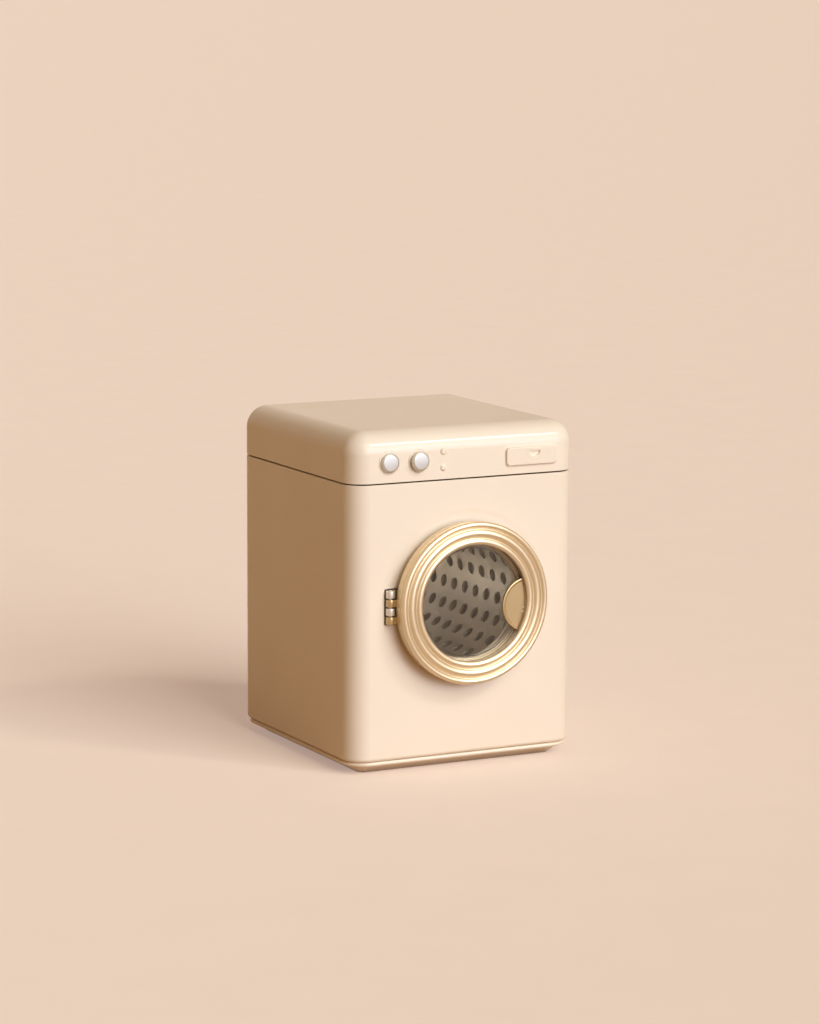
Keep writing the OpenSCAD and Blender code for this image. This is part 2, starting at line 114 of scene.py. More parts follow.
@dataclass(frozen=True)
class Layout:
    """Places that several assemblies share, in millimetres.

    Args:
        depth: Depth of the cabinet, whose middle is the origin.
        door_z: Height of the centre of the door and the drum.
        knobs_x: Places of the knobs across the front.
        knobs_z: Height of the knobs.
    """

    depth: float = 80.5
    door_z: float = 51.8
    knobs_x: tuple[float, float] = (-26.1, -16.2)
    knobs_z: float = 95.6

    @property
    def face(self) -> float:
        """Give the place of the front wall's outer face."""
        return -self.depth / 2

    def out_of_front(self, x: float, z: float) -> Axis:
        """Give the axis that stands out of the front wall at a place."""
        return Axis((x, self.face, z), (0.0, -1.0, 0.0))


LAYOUT = Layout()


def clear_bench() -> None:
    """Leave edit mode and deselect every object."""
    if bpy.context.object is not None and bpy.context.object.mode != "OBJECT":
        bpy.ops.object.mode_set(mode="OBJECT")
    bpy.ops.object.select_all(action="DESELECT")


def take(piece: Piece) -> None:
    """Make a piece the only selected and active object, in object mode."""
    clear_bench()
    piece.select_set(True)
    bpy.context.view_layer.objects.active = piece


def edit(piece: Piece) -> None:
    """Open a piece in edit mode with nothing selected."""
    take(piece)
    bpy.ops.object.mode_set(mode="EDIT")
    bpy.ops.mesh.select_mode(type=Part.FACES.value)
    bpy.ops.mesh.select_all(action="DESELECT")


def pick(part: Part, wanted: Callable[[Vector, Vector], bool]) -> int:
    """Select the parts of the mesh being edited that pass a test of place and direction.

    Args:
        part: Whether vertices, edges or faces are tested.
        wanted: Takes a part's middle in millimetres, and its normal or an edge's direction.

    Returns:
        How many parts passed.
    """
    bpy.ops.mesh.select_mode(type=part.value)
    bpy.ops.mesh.select_all(action="DESELECT")
    mesh = bpy.context.object.data
    bm = bmesh.from_edit_mesh(mesh)
    found = 0
    for item in {Part.VERTS: bm.verts, Part.EDGES: bm.edges, Part.FACES: bm.faces}[part]:
        if part is Part.VERTS:
            middle, direction = item.co, item.normal
        elif part is Part.EDGES:
            ends = [v.co for v in item.verts]
            middle, direction = (ends[0] + ends[1]) / 2, (ends[1] - ends[0]).normalized()
        else:
            middle, direction = item.calc_center_median(), item.normal
        if wanted(middle / MM, direction):
            item.select_set(True)
            found += 1
    bm.select_flush_mode()
    bmesh.update_edit_mesh(mesh)
    return found


def settle(piece: Piece) -> Piece:
    """Move a piece's place, turn and size into its mesh."""
    take(piece)
    bpy.ops.object.transform_apply(location=True, rotation=True, scale=True)
    return piece


def block(name: str, low: Sequence[float], high: Sequence[float]) -> Piece:
    """Add a block between two corners, as a start for a piece.

    Args:
        name: Name of the piece.
        low: Its lowest corner, in millimetres.
        high: Its highest corner, in millimetres.

    Returns:
        The block, with its place in its mesh.
    """
    clear_bench()
    middle = [(a + b) / 2 * MM for a, b in zip(low, high)]
    size = [(b - a) * MM for a, b in zip(low, high)]
    bpy.ops.mesh.primitive_cube_add(size=1, location=middle, scale=size)
    bpy.context.object.name = name
    return settle(bpy.context.object)


def round_off(width: float, steps: int) -> None:
    """Bevel the selected edges to a round of a radius in millimetres."""
    bpy.ops.mesh.bevel(offset=width * MM, segments=steps, affect="EDGES", clamp_overlap=False)


def lathe(name: str, section: Section, axis: Axis, turns: int = 128) -> Piece:
    """Trace a closed section beside an axis and spin it into a solid.

    Args:
        name: Name of the piece.
        section: Radius and height of each point, in order.
        axis: The line that the section is drawn beside and spun about.
        turns: Steps of the spin.

    Returns:
        The solid, with its faces outwards.
    """
    clear_bench()
    points = [axis.at(*point) for point in section]
    bpy.ops.mesh.primitive_plane_add(size=MM, location=points[0])
    piece = settle(bpy.context.object)
    piece.name = name
    bpy.ops.object.mode_set(mode="EDIT")
    bpy.ops.mesh.select_mode(type="VERT")
    bpy.ops.mesh.select_all(action="SELECT")
    bpy.ops.mesh.merge(type="CENTER")
    for before, after in zip(points, points[1:]):
        bpy.ops.mesh.extrude_region_move(TRANSFORM_OT_translate={"value": after - before})
    ends = [points[0] / MM, points[-1] / MM]
    pick(Part.VERTS, lambda place, _: min((place - end).length for end in ends) < SLIVER)
    if section[0][0] > 0 or section[-1][0] > 0:
        bpy.ops.mesh.edge_face_add()
    bpy.ops.mesh.select_all(action="SELECT")
    bpy.ops.mesh.spin(steps=turns, angle=math.tau, center=axis.at(0, 0), axis=axis.along)
    bpy.ops.mesh.select_all(action="SELECT")
    bpy.ops.mesh.remove_doubles(threshold=WELD * MM)
    bpy.ops.mesh.normals_make_consistent(inside=False)
    clear_bench()
    return piece


def combine(piece: Piece, tool: Piece, how: Join) -> Piece:
    """Put a solid together with another, which is used up.

    Args:
        piece: The solid that stays.
        tool: The solid that is added, cut away, or kept within.
        how: Which of these is done.

    Returns:
        The piece.
    """
    change = piece.modifiers.new("Join", "BOOLEAN")
    change.object, change.operation, change.solver = tool, how.value, "EXACT"
    take(piece)
    bpy.ops.object.modifier_apply(modifier=change.name)
    bpy.data.objects.remove(tool)
    edit(piece)
    bpy.ops.mesh.select_all(action="SELECT")
    bpy.ops.mesh.remove_doubles(threshold=SLIVER * MM)
    bpy.ops.mesh.dissolve_degenerate(threshold=SLIVER * MM)
    clear_bench()
    return piece


def ease(piece: Piece, width: float, steps: int = 2, sharper_than: float = 35) -> Piece:
    """Round every edge of a piece that is sharper than an angle.

    Args:
        piece: The piece.
        width: Width of the rounding, in millimetres.
        steps: Steps of the rounding.
        sharper_than: The angle, in degrees.

    Returns:
        The piece.
    """
    change = piece.modifiers.new("Eased edges", "BEVEL")
    change.width, change.segments = width * MM, steps
    change.limit_method, change.angle_limit = "ANGLE", math.radians(sharper_than)
    change.use_clamp_overlap = False
    take(piece)
    bpy.ops.object.modifier_apply(modifier=change.name)
    return piece


def smooth(piece: Piece) -> Piece:
    """Shade a piece smooth up to its creases, and keep flat faces flat by weighting normals by area.

    Args:
        piece: The piece.

    Returns:
        The piece.
    """
    take(piece)
    bpy.ops.object.shade_smooth_by_angle(angle=math.radians(CREASE))
    change = piece.modifiers.new("Even shading", "WEIGHTED_NORMAL")
    change.keep_sharp, change.weight = True, 90
    bpy.ops.object.modifier_apply(modifier=change.name)
    return piece


def true_up(piece: Piece, form: Callable[[Vector, Vector], Vector | None]) -> Piece:
    """Give faces the exact normals of the form they lie on, so that cuts leave no trace in its gloss.

    Args:
        piece: The piece.
        form: Takes a face's normal and one of its corners in millimetres, and gives the exact normal
            there, or None to keep the shading.

    Returns:
        The piece.
    """
    mesh = piece.data
    normals = [corner.vector.copy() for corner in mesh.corner_normals]
    for face in mesh.polygons:
        for corner in face.loop_indices:
            exact = form(face.normal, mesh.vertices[mesh.loops[corner].vertex_index].co / MM)
            if exact is not None:
                normals[corner] = exact
    mesh.normals_split_custom_set(normals)
    return piece


def on_flat(normal: Vector, _: Vector) -> Vector | None:
    """Give the exact normal of a face that lies in one of the cabinet's flat sides."""
    return next((Vector(way) for way in FLATS if normal.dot(Vector(way)) > FLAT_AGREES), None)


def welded_copy(node: str, name: str) -> Piece:
    """Copy a solid of the construction model and weld its loose triangles into whole faces.

    Args:
        node: The solid's name.
        name: Name of the copy.

    Returns:
        The copy.
    """
    piece = bpy.data.objects.new(name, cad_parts[node].data.copy())
    bpy.context.scene.collection.objects.link(piece)
    piece.data.materials.clear()
    edit(piece)
    bpy.ops.mesh.select_all(action="SELECT")
    bpy.ops.mesh.remove_doubles(threshold=WELD * MM)
    bpy.ops.mesh.dissolve_limited(angle_limit=math.radians(0.2))
    clear_bench()
    return piece


def rounded(corners: Iterable[tuple[float, float, float]], steps: int = 5) -> Section:
    """Round the corners of a closed section.

    Args:
        corners: Radius from the axis, height along it and rounding radius of each corner.
        steps: Steps of each rounding.

    Returns:
        The section's points in order.
    """
    corners = list(corners)
    points: Section = []
    for i, (x, y, rounding) in enumerate(corners):
        if rounding <= 0:
            points.append((x, y))
            continue
        here = Vector((x, y))
        back = Vector(corners[i - 1][:2]) - here
        on = Vector(corners[(i + 1) % len(corners)][:2]) - here
        half = back.angle(on) / 2
        reach = min(rounding / math.tan(half), 0.49 * back.length, 0.49 * on.length)
        radius = reach * math.tan(half)
        middle = here + (back.normalized() + on.normalized()).normalized() * (radius / math.sin(half))
        start, end = (here + side.normalized() * reach - middle for side in (back, on))
        first = math.atan2(start.y, start.x)
        sweep = (math.atan2(end.y, end.x) - first + math.pi) % math.tau - math.pi
        for step in range(steps + 1):
            angle = first + sweep * step / steps
            points.append((middle.x + radius * math.cos(angle), middle.y + radius * math.sin(angle)))
    return points


def arc(x: float, y: float, radius: float, first: float, last: float, steps: int) -> Section:
    """Give points on an arc.

    Args:
        x: Radius from the axis of the arc's centre.
        y: Height along the axis of the arc's centre.
        radius: Radius of the arc.
        first: Angle of its first point, in degrees.
        last: Angle of its last point, in degrees.
        steps: Steps between them.

    Returns:
        The points in order.
    """
    angles = [math.radians(first + (last - first) * step / steps) for step in range(steps + 1)]
    return [(x + radius * math.cos(a), y + radius * math.sin(a)) for a in angles]


def finish_piece(piece: Piece, body: str, slot: str, material: Material, *nodes: str) -> None:
    """Give a piece its material and body, hide the solids that it stands for, and report it.

    Args:
        piece: The piece.
        body: Body that it moves with.
        slot: Material slot of the part's record, which is not used.
        material: Its finish.
        nodes: Solids of the construction model that it stands for.
    """
    clear_bench()
    piece.data.materials.clear()
    piece.data.materials.append(material)
    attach(piece, body)
    if nodes:
        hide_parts(*nodes)
    LOG.info("%s: %d faces, rides on %s", piece.name, len(piece.data.polygons), body)


def dress_part(piece: Piece, material: Material, wanted: Callable[[Vector], bool]) -> None:
    """Give some of a piece's faces another material.

    Args:
        piece: The piece, which already has its own material.
        material: The other material.
        wanted: Takes a face's middle in millimetres.
    """
    piece.data.materials.append(material)
    for face in piece.data.polygons:
        if wanted(face.center / MM):
            face.material_index = len(piece.data.materials) - 1


@dataclass(frozen=True)
class Carried:
    """A solid of the construction model that is carried over with its edges eased.

    Args:
        node: The solid's name.
        name: Name of the piece.
        body: Body that it moves with.
        slot: Material slot of the part's record.
        easing: Width of the rounding of its edges in millimetres, or 0 for none.
        steps: Steps of the rounding.
        sharper_than: Angle past which an edge is rounded, in degrees.
    """

    node: str
    name: str
    body: str
    slot: str
    easing: float = 0.0
    steps: int = 2
    sharper_than: float = 35

    def dress(self, material: Material) -> None:
        """Copy, ease and dress the solid.

        Args:
            material: Its finish.
        """
        piece = welded_copy(self.node, self.name)
        if self.easing:
            ease(piece, self.easing, self.steps, self.sharper_than)
        finish_piece(smooth(piece), self.body, self.slot, material, self.node)


# ---- Finishes ----


def linear(colour: str) -> tuple[float, float, float, float]:
    """Turn an sRGB hex colour such as "#f0dfc6" to linear light with full alpha."""
    parts = [int(colour[i : i + 2], 16) / 255 for i in (1, 3, 5)]
    return (*[c / 12.92 if c <= 0.04045 else ((c + 0.055) / 1.055) ** 2.4 for c in parts], 1.0)


def add(tree: Tree, kind: str, sockets: dict | None = None, **settings: object) -> bpy.types.Node:
    """Add a node with its settings and links.

    Args:
        tree: Tree that it goes in.
        kind: Type of node, without its usual prefix.
        sockets: Value, or socket to link from, for each input by name or number.
        settings: Settings of the node itself.

    Returns:
        The node.
    """
    made = tree.nodes.new("ShaderNode" + kind)
    for name, value in settings.items():
        setattr(made, name, value)
    for name, value in (sockets or {}).items():
        if isinstance(value, Socket):
            tree.links.new(value, made.inputs[name])
        else:
            made.inputs[name].default_value = value
    return made


def empty_material(name: str) -> tuple[Material, Tree, Socket]:
    """Make a material with no nodes but the one that gives the place on the piece.

    Args:
        name: The real material and how its surface was made.

    Returns:
        The material, its node tree, and the place as a socket.
    """
    material = bpy.data.materials.new(name)
    material.use_nodes = True
    tree = material.node_tree
    tree.nodes.clear()
    return material, tree, add(tree, "TexCoord").outputs["Object"]


@dataclass(frozen=True)
class Finish:
    """What all opaque finishes share.

    Args:
        name: The real material and how its surface was made.
        colour: Main colour, in sRGB.
        other: Colour that it drifts to, in sRGB.
        roughness: Middle roughness.
        spread: How far the roughness drifts to either side.
        patch_mm: Size of the patches in which colour and roughness drift.
        metallic: 1 for a bare or plated metal, 0 for anything else.
    """

    name: str
    colour: str
    other: str
    roughness: float
    spread: float = 0.04
    patch_mm: float = 20.0
    metallic: float = 1.0

    def pattern(self, tree: Tree, place: Socket) -> tuple[Socket, float]:
        """Draw the surface's relief.

        Args:
            tree: The material's tree.
            place: The place on the piece.

        Returns:
            The relief, and its height from its lowest to its highest, in millimetres.
        """
        raise NotImplementedError

    def make(self) -> Material:
        """Build the material: drifting colour and roughness, and relief.

        Returns:
            The material.
        """
        material, tree, place = empty_material(self.name)
        drift = add(tree, "TexNoise", {"Vector": place, "Scale": 1 / (self.patch_mm * MM), "Detail": 3.0})
        tones = {0: drift.outputs["Fac"], 6: linear(self.colour), 7: linear(self.other)}
        tone = add(tree, "Mix", tones, data_type="RGBA")
        rough = add(
            tree,
            "MapRange",
            {
                "Value": drift.outputs["Fac"],
                "From Min": 0.2,
                "From Max": 0.8,
                "To Min": self.roughness - self.spread,
                "To Max": self.roughness + self.spread,
            },
            interpolation_type="SMOOTHSTEP",
        )
        height, depth_mm = self.pattern(tree, place)
        relief = add(tree, "Bump", {"Height": height, "Distance": depth_mm * MM})
        shader = add(
            tree,
            "BsdfPrincipled",
            {
                "Base Color": tone.outputs[2],
                "Roughness": rough.outputs["Result"],
                "Metallic": self.metallic,
                "Normal": relief.outputs["Normal"],
            },
        )
        self.gloss(shader)
        add(tree, "OutputMaterial", {"Surface": shader.outputs["BSDF"]})
        return material

    def gloss(self, shader: bpy.types.Node) -> None:
        """Set what else the finish needs on its shader, which is nothing on a bare metal."""


@dataclass(frozen=True)
class StoveEnamel(Finish):
    """Sprayed and stoved enamel on pressed tinplate, whose faint orange peel gives a soft, wet sheen.

    Args:
        peel_mm: Width of a ripple of the orange peel.
        peel_depth_mm: Height of a ripple.
        varnish: Weight of the glossy skin that stoving leaves.
        varnish_roughness: Its roughness.
    """

    metallic: float = 0.0
    peel_mm: float = 1.6
    peel_depth_mm: float = 0.0006
    varnish: float = 0.30
    varnish_roughness: float = 0.07

    def pattern(self, tree: Tree, place: Socket) -> tuple[Socket, float]:
        """Draw the orange peel."""
        peel = add(tree, "TexNoise", {"Vector": place, "Scale": 1 / (self.peel_mm * MM), "Detail": 1.0})
        return peel.outputs["Fac"], self.peel_depth_mm

    def gloss(self, shader: bpy.types.Node) -> None:
        """Add the glossy skin."""
        shader.inputs["IOR"].default_value = 1.5
        shader.inputs["Coat Weight"].default_value = self.varnish
        shader.inputs["Coat Roughness"].default_value = self.varnish_roughness


@dataclass(frozen=True)
class TurnedMetal(Finish):
    """Metal spun or turned and then plated or lacquered, whose fine round lines stretch its highlights.

    Args:
        line_mm: Distance between turning lines, drawn coarser than real ones so that it shows.
        line_depth_mm: Depth of a line.
        centre: Point that the lines run round, in millimetres.
        lacquer: Weight of the clear lacquer.
        lacquer_roughness: Its roughness.
    """

    line_mm: float = 0.25
    line_depth_mm: float = 0.0004
    centre: tuple[float, float, float] = (0.0, 0.0, LAYOUT.door_z)
    lacquer: float = 0.5
    lacquer_roughness: float = 0.3

    def gloss(self, shader: bpy.types.Node) -> None:
        """Add the clear lacquer, whose white sheen lies over the metal's own colour."""
        shader.inputs["Coat Weight"].default_value = self.lacquer
        shader.inputs["Coat Roughness"].default_value = self.lacquer_roughness

    def pattern(self, tree: Tree, place: Socket) -> tuple[Socket, float]:
        """Draw lines round the centre."""
        shift = [-c * MM for c in self.centre]
        moved = add(tree, "Mapping", {"Vector": place, "Location": shift, "Scale": (1, 0, 1)})
        radius = add(tree, "VectorMath", {0: moved.outputs["Vector"]}, operation="LENGTH")
        rings = {"W": radius.outputs["Value"], "Scale": 1 / (self.line_mm * MM), "Detail": 2.0}
        lines = add(tree, "TexNoise", rings, noise_dimensions="1D")
        return lines.outputs["Fac"], self.line_depth_mm


@dataclass(frozen=True)
class RolledMetal(Finish):
    """Metal sheet as rolled, whose faint long scratches run from front to back.

    Args:
        scratch_mm: Width of a scratch.
        scratch_length_mm: Length of a scratch.
        scratch_depth_mm: Depth of a scratch.
    """

    scratch_mm: float = 0.3
    scratch_length_mm: float = 12.0
    scratch_depth_mm: float = 0.002

    def pattern(self, tree: Tree, place: Socket) -> tuple[Socket, float]:
        """Draw long scratches."""
        across, along = 1 / (self.scratch_mm * MM), 1 / (self.scratch_length_mm * MM)
        stretched = add(tree, "Mapping", {"Vector": place, "Scale": (across, along, across)})
        lines = {"Vector": stretched.outputs["Vector"], "Scale": 1.0, "Detail": 2.0}
        scratches = add(tree, "TexNoise", lines)
        return scratches.outputs["Fac"], self.scratch_depth_mm


@dataclass(frozen=True)
class ClearSheet:
    """Clear vacuum-formed acetate, which mirrors its surroundings faintly over a view of what is behind it.

    Args:
        name: The real material and how its surface was made.
        tint: Colour of what it lets through, in sRGB.
        ior: Its index of refraction.
        roughness: Roughness of its polished faces.
        wave_mm: Width of the slow waves left by forming.
        wave_depth_mm: Height of a wave.
    """

    name: str
    tint: str
    ior: float = 1.48
    roughness: float = 0.03
    wave_mm: float = 6.0
    wave_depth_mm: float = 0.004

    def make(self) -> Material:
        """Build the material. Light on its way to what is behind it passes straight through."""
        material, tree, place = empty_material(self.name)
        waves = add(tree, "TexNoise", {"Vector": place, "Scale": 1 / (self.wave_mm * MM), "Detail": 1.0})
        relief = add(tree, "Bump", {"Height": waves.outputs["Fac"], "Distance": self.wave_depth_mm * MM})
        glass = add(
            tree,
            "BsdfPrincipled",
            {
                "Base Color": linear(self.tint),
                "Roughness": self.roughness,
                "IOR": self.ior,
                "Transmission Weight": 1.0,
                "Normal": relief.outputs["Normal"],
            },
        )
        clear = add(tree, "BsdfTransparent", {"Color": linear(self.tint)})
        path = add(tree, "LightPath")
        kinds = {0: path.outputs["Is Shadow Ray"], 1: path.outputs["Is Diffuse Ray"]}
        straight = add(tree, "Math", kinds, operation="MAXIMUM").outputs[0]
        mixed = add(tree, "MixShader", {0: straight, 1: glass.outputs["BSDF"], 2: clear.outputs["BSDF"]})
        add(tree, "OutputMaterial", {"Surface": mixed.outputs["Shader"]})
        return material


class Finishes:
    """All finishes of the machine, made once and shared by its pieces."""

    def __init__(self) -> None:
        """Make every material."""
        enamel = StoveEnamel("Stove enamel on pressed tinplate", "#f2e4cd", "#efe0c8", 0.50, 0.02)
        self.enamel = enamel.make()
        # The neck's near-black colour is painted shade: it stands in for the dark of the narrow gap under
        # the cover, not for the tinplate's own colour.
        self.tin = RolledMetal("Bare tinplate neck in painted seam shade", "#2a1b0e", "#21150b", 0.60).make()
        self.brass = TurnedMetal("Lacquered pale brass, spun", "#dfccaa", "#d9c5a0", 0.38).make()
        pressed = RolledMetal("Lacquered pale brass, pressed", "#c8b186", "#bfa77b", 0.32)
        self.pressed_brass = pressed.make()
        self.plate = RolledMetal("Nickel plate on pressed steel", "#e0dacf", "#d6cfc2", 0.42).make()
        self.knobs = []
        for side, x in zip(("left", "right"), LAYOUT.knobs_x):
            name, centre = f"Satin nickel plate, turned, {side}", (x, 0.0, LAYOUT.knobs_z)
            self.knobs.append(TurnedMetal(name, "#d2d1c8", "#cbcac1", 0.34, centre=centre).make())
        drum = RolledMetal("Bright tinplate, punched", "#f2ebe0", "#e8e1d4", 0.38, 0.06, 14.0)
        self.drum = drum.make()
        self.zinc = RolledMetal("Zinc plate on turned steel", "#a9a69d", "#9b988f", 0.35).make()
        self.ferrite = RolledMetal("Sintered ferrite", "#2b2a2b", "#232224", 0.55, metallic=0.0).make()
        self.clear = ClearSheet("Clear acetate, vacuum-formed", "#f7f5f0").make()


# ---- Cabinet ----


@dataclass
class Cabinet:
    """Shell, cover and plinth, all sizes in millimetres.

    Args:
        finishes: The machine's finishes.
        width: Width over all.
        height: Height of the cover's top.
        corner: Radius of the upright corners.
        top_edge: Radius of the cover's top edge.
        sheet: Thickness of the sheet.
        seam: Height of the cover's lower edge.
        seam_gap: Height of the open line under it.
        neck: Height of the neck inside the cover.
        neck_gap: Gap between the neck and the cover's inner face.
        hem: Radius of the shell's lower edge.
        flange: Width of the flange under the shell.
        plinth: Height of the shell's lower edge.
        rim: Rounding of the sheet's cut edges.
        lap: Left and right side of the folded seam in the back wall.
        lap_rise: How far the folded seam stands out, and how deep it is rooted.
        lap_gap: How far it ends below the shell's upper edge.
        root: How deep a pressed form is rooted in the wall.
        recess: Radii between which the wall slopes down to the floor of the recess round the door.
        recess_depth: Depth of that recess.
        mouth: Radius of the opening behind the door.
        collar: Height of the collar round it.
        slot: Left and right side, and half height, of the slot that the hinge sits in.
        slot_corner: Radius of its corners.
        rivets: Place across, height from the door's centre and radius of the rivet holes.
        axle_hole: Radius of the axle's hole in the back wall.
        knob_hole: Radius of the holes that the knobs' shanks turn in.
        boss: Radius of the bosses round them.
        dot: Radius of the dots.
        dots: Place of the dots across the front, and both heights.
        drawer: Place and size of the drawer front: across, up, width, height.
        drawer_rise: How far it stands out.
        drawer_corner: Radius of its corners.
        drawer_soft: Radius of its edge and of the fillet at its foot.
        cup: Place of its half-moon recess beside its middle, across and up, and radius and depth.
    """

    finishes: Finishes
    width: float = 77.5
    height: float = 105.0
    corner: float = 7.0
    top_edge: float = 7.0
    sheet: float = 0.8
    seam: float = 89.5
    seam_gap: float = 0.45
    neck: float = 3.0
    neck_gap: float = 0.1
    hem: float = 1.2
    flange: float = 2.7
    plinth: float = 4.2
    rim: float = 0.15
    lap: tuple[float, float] = (20.5, 23.5)
    lap_rise: float = 0.4
    lap_gap: float = 0.2
    root: float = 0.4
    recess: tuple[float, float] = (26.2, 28.8)
    recess_depth: float = 0.2
    mouth: float = 17.7
    collar: float = 2.0
    slot: tuple[float, float, float] = (-27.65, -22.6, 5.525)
    slot_corner: float = 0.4
    rivets: tuple[float, float, float] = (-20.55, 3.3, 0.45)
    axle_hole: float = 1.5
    knob_hole: float = 0.95
    boss: float = 3.5
    dot: float = 1.1
    dots: tuple[float, float, float] = (-7.8, 98.0, 93.1)
    drawer: tuple[float, float, float, float] = (22.4, 95.0, 17.6, 5.6)
    drawer_rise: float = 0.9
    drawer_corner: float = 1.0
    drawer_soft: float = 0.4
    cup: tuple[float, float, float, float] = (0.8, 1.6, 2.1, 0.6)

    def inset(self, at: Vector) -> float:
        """Measure how far a point lies inside the cabinet's outline.

        Args:
            at: The point, in millimetres.

        Returns:
            The distance, in millimetres.
        """
        across = max(abs(at.x) - self.width / 2 + self.corner, 0)
        along = max(abs(at.y) - LAYOUT.depth / 2 + self.corner, 0)
        return self.corner - math.hypot(across, along)

    def box(self, name: str, low: float, high: float) -> Piece:
        """Add a block of the cabinet's footprint with round upright corners, and leave it in edit mode.

        Args:
            name: Name of the piece.
            low: Height of its underside, in millimetres.
            high: Height of its top, in millimetres.

        Returns:
            The block.
        """
        x, y = self.width / 2, LAYOUT.depth / 2
        piece = block(name, (-x, -y, low), (x, y, high))
        edit(piece)
        pick(Part.EDGES, lambda _, way: abs(way.z) > ALONG)
        round_off(self.corner, 20)
        return piece

    def pick_rim(self, height: float) -> None:
        """Select the outer edges of the piece being edited that run round it at a height."""

        def runs_round(at: Vector, way: Vector) -> bool:
            """Tell whether an edge at the height runs level and on the outline."""
            return abs(at.z - height) < TOUCH and abs(way.z) < ACROSS and self.inset(at) < 0.05

        pick(Part.EDGES, runs_round)

    def thicken(self, piece: Piece) -> None:
        """Turn a skin into sheet metal, inwards from its outer face."""
        change = piece.modifiers.new("Sheet", "SOLIDIFY")
        change.thickness, change.offset = self.sheet * MM, -1.0
        change.use_even_offset = True
        take(piece)
        bpy.ops.object.modifier_apply(modifier=change.name)

    def ease_rim(self, piece: Piece, height: float) -> None:
        """Round the outer edge of a piece at a height."""
        edit(piece)
        self.pick_rim(height)
        round_off(self.rim, 3)
        clear_bench()

    def foot_of(self, radius: float, fillet: float) -> Section:
        """Give the fillet at the foot of a round form, which starts just inside the wall.

        Args:
            radius: Radius of the form, in millimetres.
            fillet: Radius of the fillet, in millimetres.

        Returns:
            The points from the wall up.
        """
        return arc(radius + fillet, fillet - 0.02, fillet, 250, 190, 4)

    def press_out(self, piece: Piece, form: Piece) -> None:
        """Join a form that is pressed out of the wall to the wall, in which its root is hidden."""
        smooth(form)
        take(piece)
        form.select_set(True)
        bpy.ops.object.join()

    def build_shell(self) -> None:
        """Fold up the shell, press its recess, and cut its door opening and hinge slot."""
        top = self.seam - self.seam_gap
        piece = self.box("shell", self.plinth, top)
        self.pick_rim(self.plinth)
        round_off(self.hem, 5)
        pick(Part.FACES, lambda _, way: way.z > ALONG)
        bpy.ops.mesh.inset(thickness=(self.sheet + self.neck_gap) * MM)
        rise = (self.seam_gap + self.neck) * MM
        bpy.ops.mesh.extrude_region_move(TRANSFORM_OT_translate={"value": (0, 0, rise)})
        bpy.ops.mesh.delete(type="FACE")
        pick(Part.FACES, lambda _, way: way.z < -0.99)
        bpy.ops.mesh.inset(thickness=(self.flange - self.hem) * MM)
        bpy.ops.mesh.delete(type="FACE")
        self.thicken(piece)
        self.ease_rim(piece, top)
        self.press_recess(piece)
        self.open_front(piece)
        self.fold_seam(piece, top - self.lap_gap)
        true_up(smooth(piece), on_flat)
        finish_piece(piece, "cabinet", "enamel", self.finishes.enamel, "cabinet_shell")
        # The neck that shows in the gap under the cover gets the near-black material, which is painted
        # shade for that gap.
        dress_part(piece, self.finishes.tin, lambda at: at.z > top + 0.05)

    def fold_seam(self, piece: Piece, top: float) -> None:
        """Fold the shell's two ends together in the back wall, up to a height."""
        back, (left, right) = LAYOUT.depth / 2, self.lap
        low = (left, back - self.lap_rise, self.plinth + self.hem)
        seam = block("seam", low, (right, back + self.lap_rise, top))
        edit(seam)
        pick(Part.EDGES, lambda at, way: at.y > back and abs(way.y) < 0.5)
        round_off(self.lap_rise - 0.1, 3)
        combine(piece, seam, Join.ADD)

    def press_recess(self, piece: Piece) -> None:
        """Press the shallow recess round the door into the front wall."""
        front = LAYOUT.out_of_front(0, LAYOUT.door_z)
        floor, back = -self.recess_depth, -self.recess_depth - self.sheet
        inner, outer = self.recess
        pan = [(0, back), (outer, back), (outer, -self.root), (0, -self.root)]
        combine(piece, lathe("pan", pan, front), Join.ADD)
        slope: Section = []
        # The slope ends a hair outside the wall's face, so that no cut lies in the face's own plane.
        steps, past_wall = 12, 0.004
        for step in range(steps + 1):
            share = step / steps
            fall = floor * (1 - share * share * (3 - 2 * share))
            slope.append((inner + (outer - inner) * share, fall + past_wall))
        dish = [(0, floor), *slope, (outer, 1), (0, 1)]
        combine(piece, lathe("dish", dish, front, 192), Join.CUT)

    def open_front(self, piece: Piece) -> None:
        """Cut the opening, the hinge slot and the holes, and draw the collar out."""
        front = LAYOUT.out_of_front(0, LAYOUT.door_z)
        floor, back = -self.recess_depth, -self.recess_depth - self.sheet
        # The hole is cut a little wide, and the collar's root fills it and lies inside the wall's sheet.
        combine(piece, lathe("bore", self.drill(self.mouth + 0.2), front), Join.CUT)
        outer, lip = self.mouth + self.sheet, self.sheet / 2 - 0.01
        collar = rounded(
            [
                (self.mouth, back + 0.05, 0.1),
                (outer + 0.5, back + 0.05, 0),
                (outer + 0.5, floor - 0.02, 0),
                (outer, floor + 0.05, 0.35),
                (outer, self.collar, lip),
                (self.mouth, self.collar, lip),
            ]
        )
        combine(piece, lathe("collar", collar, front), Join.ADD)
        left, right, half = self.slot
        low = (left, LAYOUT.face - 2, LAYOUT.door_z - half)
        slot = block("slot", low, (right, LAYOUT.face + 1.5, LAYOUT.door_z + half))
        edit(slot)
        pick(Part.EDGES, lambda _, way: abs(way.y) > ALONG)
        round_off(self.slot_corner, 4)
        combine(piece, slot, Join.CUT)
        x, up, radius = self.rivets
        for z in (LAYOUT.door_z - up, LAYOUT.door_z + up):
            hole = lathe("rivet_hole", self.drill(radius), LAYOUT.out_of_front(x, z), 24)
            combine(piece, hole, Join.CUT)
        hole = lathe("axle_hole", self.drill(self.axle_hole, -LAYOUT.depth), front, 48)
        combine(piece, hole, Join.CUT)

    def drill(self, radius: float, height: float = 0.0) -> Section:
        """Give the section of a cutter for a round hole through a wall.

        Args:
            radius: Radius of the hole, in millimetres.
            height: Height of the wall's outer face along the cutter's axis, in millimetres.

        Returns:
            The section.
        """
        low, high = height - 3, height + 2
        return [(0, low), (radius, low), (radius, high), (0, high)]

